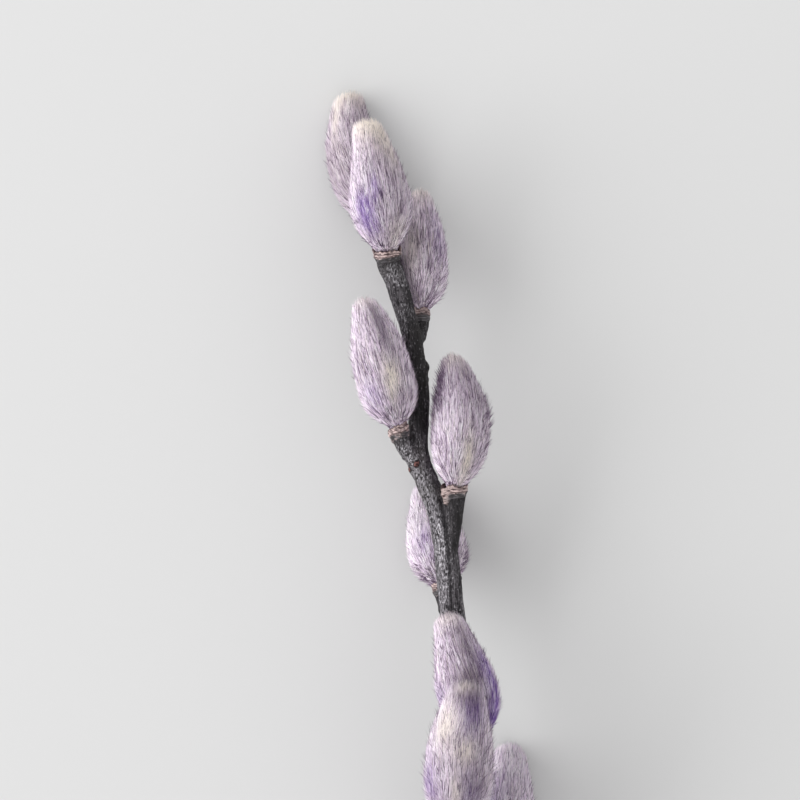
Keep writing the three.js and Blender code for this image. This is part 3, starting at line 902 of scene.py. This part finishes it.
def hair_points(bench, given):
    """The roots with what each hair has to know, and the turn and size of each hair."""
    seed = given.out("Seed")

    def draw(low, high, salt, by=None):
        sockets = {2: low, 3: high, "Seed": seed + salt}
        if by is not None:
            sockets["ID"] = by
        return bench.node("FunctionNodeRandomValue", {"data_type": "FLOAT"}, sockets, out=1)

    def scatter(density, salt):
        sockets = {"Mesh": given, "Density": given.out(density), "Seed": seed + salt}
        return bench.node("GeometryNodeDistributePointsOnFaces", None, sockets)

    roots = scatter("Hairs per square metre", 0)
    locks = scatter("Locks per square metre", 500)
    place = bench.node("GeometryNodeInputPosition")
    nearest = bench.node("GeometryNodeSampleNearest", None, {"Geometry": locks, "Sample Position": place})
    lock_place = bench.node("GeometryNodeSampleIndex", {"data_type": "FLOAT_VECTOR"},
                            {"Geometry": locks, "Value": place, "Index": nearest})

    normal = roots.out("Normal")
    comb = bench.named("comb", "FLOAT_VECTOR")
    across = bench.vector("CROSS_PRODUCT", comb, normal)
    swirl = bench.noise(place, 300.0, 2.0) - 0.5
    bristle = bench.named("bristle")
    stray = bench.math("LESS_THAN", draw(0.0, 1.0, 1), given.out("Strays") + bristle)
    slope = given.out("Lift") * draw(0.2, 1.6, 2) + stray * (draw(0.2, 0.8, 3) + 0.5 * bristle)
    swing = given.out("Swirl") * swirl + draw(-0.09, 0.09, 4) + stray * draw(-0.35, 0.35, 5)
    way = bench.vector("ADD", comb, bench.scaled(normal, slope))
    way = bench.vector("ADD", way, bench.scaled(across, swing))
    length = bench.named("hair_length") * draw(0.45, 1.3, 6) * (1 - 0.4 * stray * (1 - bristle))
    # Hairs are paler where the skin has painted light.
    tone = 0.46 * draw(0.0, 1.0, 8, nearest) + 0.54 * draw(0.0, 1.0, 9) + 0.4 * bench.named("painted_light")
    dark = bench.math("LESS_THAN", draw(0.0, 1.0, 11), given.out("Dark hairs"))
    # Stray hairs are painted darker, partly as their own colour and partly as the shade they stand in.
    tone = tone * (1 - 0.7 * stray) * (1 - 0.7 * dark)
    width = given.out("Hair width") * draw(0.7, 1.25, 7) * (1.2 - 0.4 * tone)
    pale = 0.55 * bench.math("GREATER_THAN", draw(0.0, 1.0, 10), 0.93)
    cream = bench.math("MAXIMUM", bench.named("cream"), pale) * (1 - 0.85 * stray)

    hairs = bench.keep(roots, "tone", tone)
    hairs = bench.keep(hairs, "cream", cream)
    hairs = bench.keep(hairs, "cell", bench.node("GeometryNodeInputIndex"))
    hairs = bench.keep(hairs, "reach", length)
    hairs = bench.keep(hairs, "skin_normal", normal, "FLOAT_VECTOR")
    hairs = bench.keep(hairs, "pull", bench.vector("SUBTRACT", lock_place, place), "FLOAT_VECTOR")
    turn = bench.node("FunctionNodeAlignRotationToVector", {"axis": "Z"}, {"Vector": way})
    turn = bench.node("FunctionNodeAlignRotationToVector", {"axis": "X", "pivot_axis": "Z"},
                      {"Rotation": turn, "Vector": normal})
    size = bench.node("ShaderNodeCombineXYZ", None, {"X": 0.5 * width, "Y": 0.5 * width, "Z": length})
    return hairs, turn, size


print("inputs of the fur tree:", len(FUR_INPUTS))

# %% The tree that grows the fur
UV_NAME = "OFBake"
HAIR_CELLS = 0.96
HAIR_FLOOR = 0.03 * MM
FAR_BELOW = -10.0


def combed_fur():
    bench, given, identifiers = new_tree("combed_fur", FUR_INPUTS)
    hairs, turn, size = hair_points(bench, given)
    place = bench.node("GeometryNodeInputPosition")
    spike = bench.node("GeometryNodeMeshCone", None, {
        "Vertices": 3, "Side Segments": 1, "Radius Top": 0.0, "Radius Bottom": 1.0, "Depth": 1.0})
    spot = bench.node("ShaderNodeSeparateXYZ", None, {0: place})
    spike = bench.keep(spike, "along", spot.out("Z"))
    spike = bench.keep(spike, "across", spot.out("Y"))
    grown = bench.node("GeometryNodeInstanceOnPoints", None,
                       {"Points": hairs, "Instance": spike, "Rotation": turn, "Scale": size})
    grown = bench.node("GeometryNodeRealizeInstances", None, {"Geometry": grown})

    along = bench.named("along")
    skin_normal = bench.named("skin_normal", "FLOAT_VECTOR")
    bend = bench.scaled(skin_normal, -1.0 * given.out("Lay down") * bench.named("reach") * along ** 2)
    gather = bench.scaled(bench.named("pull", "FLOAT_VECTOR"), given.out("Lock pull") * along)
    grown = bench.node("GeometryNodeSetPosition", None,
                       {"Geometry": grown, "Offset": bench.vector("ADD", bend, gather)})
    above = bench.vector("MAXIMUM", place, (FAR_BELOW, FAR_BELOW, HAIR_FLOOR))
    grown = bench.node("GeometryNodeSetPosition", None, {"Geometry": grown, "Position": above})

    count = bench.node("GeometryNodeAttributeDomainSize", {"component": "POINTCLOUD"}, {"Geometry": hairs})
    columns = bench.math("CEIL", count ** 0.5)
    cell = bench.named("cell")
    column, row = cell % columns, bench.math("FLOOR", cell / columns)
    uv = bench.node("ShaderNodeCombineXYZ", None, {
        "X": (column + 0.5 + 0.42 * bench.named("across")) / columns,
        "Y": HAIR_CELLS * (row + 0.06 + 0.88 * along) / columns})
    grown = bench.keep(grown, UV_NAME, uv, "FLOAT2", "CORNER")
    grown = bench.node("GeometryNodeSetShadeSmooth", None, {"Geometry": grown})
    both = bench.node("GeometryNodeJoinGeometry", None, {"Geometry": grown})
    bench.tree.links.new(given.socket, both.socket.node.inputs[0])
    round_part = bench.scaled(skin_normal, given.out("Round shading"))
    facing = bench.vector("ADD", bench.node("GeometryNodeInputNormal"), round_part)
    both = bench.node("GeometryNodeSetMeshNormal", {"mode": "FREE", "domain": "CORNER"},
                      {"Mesh": both, "Custom Normal": bench.vector("NORMALIZE", facing)})
    clad = bench.node("GeometryNodeSetMaterial", None, {"Geometry": both, "Material": given.out("Fur")})
    bench.node("NodeGroupOutput", None, {"Geometry": clad})
    return bench, identifiers


fur_bench, fur_inputs = combed_fur()
print("fur tree:", len(fur_bench.tree.nodes), "nodes")

# %% Grow the fur
FUR_SIZES = {
    "Hairs per square metre": 4.3e7, "Locks per square metre": 3.5e6, "Hair width": 0.11 * MM,
    "Lift": 0.13, "Swirl": 0.6, "Lock pull": 0.4, "Lay down": 0.06, "Strays": 0.06,
    "Dark hairs": 0.11, "Round shading": 1.0, "Fur": fur,
}


def map_skin(mesh):
    """Lays the skin out in the strip of the UV map that the hairs leave free."""
    layer = mesh.uv_layers.new(name=UV_NAME)
    for face in mesh.polygons:
        ring, side = divmod(face.index, SKIN_SIDES)
        for corner, (right, up) in zip(face.loop_indices, [(0, 0), (0, 1), (1, 1), (1, 0)]):
            layer.data[corner].uv = ((side + right) / SKIN_SIDES,
                                     HAIR_CELLS + (1 - HAIR_CELLS) * (ring + up) / (SKIN_RINGS + 2))


furs = []
for line, catkin in zip(lines, skins):
    map_skin(catkin.data)
    run_tree(catkin, fur_bench, fur_inputs, {**FUR_SIZES, "Seed": 100 * int(line.number)})
    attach(catkin, "root")
    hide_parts("catkin_" + line.number)
    furs.append(catkin)
    print(catkin.name, triangle_count(catkin), "triangles")

# %% [markdown]
# ## Floor and light
#
# The twig lies on a plain pale sheet. One large soft light stands on the left, as by a window, and a pale
# sky fills the shadows, so the right sides of the catkins and the stem turn darker without going black.

# %% Lay the floor and light it
FLOOR_SIZE = 6.0
FLOOR_GREY = linear(204, 204, 204)
KEY_SIZE = (1.6, 1.0)
KEY_PLACE = Vector((-1.15, 0.3, 0.56))
KEY_WATTS = 18.0
SKY = linear(249, 249, 249)
SKY_STRENGTH = 0.98

sheet = bpy.data.meshes.new("floor")
half = FLOOR_SIZE / 2
corners = [(-half, -half, 0), (half, -half, 0), (half, half, 0), (-half, half, 0)]
sheet.from_pydata(corners, [], [(0, 1, 2, 3)])
pale, pale_bench, pale_shader = new_finish("pale_sheet", 0.9)
mottle = pale_bench.noise(pale_bench.node("ShaderNodeTexCoord", out="Object"), 30.0)
pale_bench.feed(pale_shader.inputs["Roughness"], 0.85 + 0.1 * mottle)
pale_shader.inputs["Base Color"].default_value = FLOOR_GREY
pale_shader.inputs["Specular IOR Level"].default_value = 0.1
sheet.materials.append(pale)
floor = new_piece("floor", sheet)

key = bpy.data.lights.new("window", "AREA")
key.shape = "RECTANGLE"
key.size, key.size_y = KEY_SIZE
key.energy = KEY_WATTS
key_object = bpy.data.objects.new("window", key)
key_object.location = KEY_PLACE
key_object.rotation_euler = (view_middle - KEY_PLACE).to_track_quat("-Z", "Y").to_euler()
bpy.context.scene.collection.objects.link(key_object)

world = bpy.data.worlds.new("pale_sky")
world.use_nodes = True
background = world.node_tree.nodes["Background"]
background.inputs["Color"].default_value = SKY
background.inputs["Strength"].default_value = SKY_STRENGTH
bpy.context.scene.world = world
bpy.context.scene.view_settings.view_transform = "Standard"
print("light:", key.energy, "W at", [round(c, 2) for c in KEY_PLACE])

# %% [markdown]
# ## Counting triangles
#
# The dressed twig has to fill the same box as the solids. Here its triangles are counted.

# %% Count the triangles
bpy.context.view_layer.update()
total = triangle_count(stem) + sum(triangle_count(piece) for piece in cups + furs)
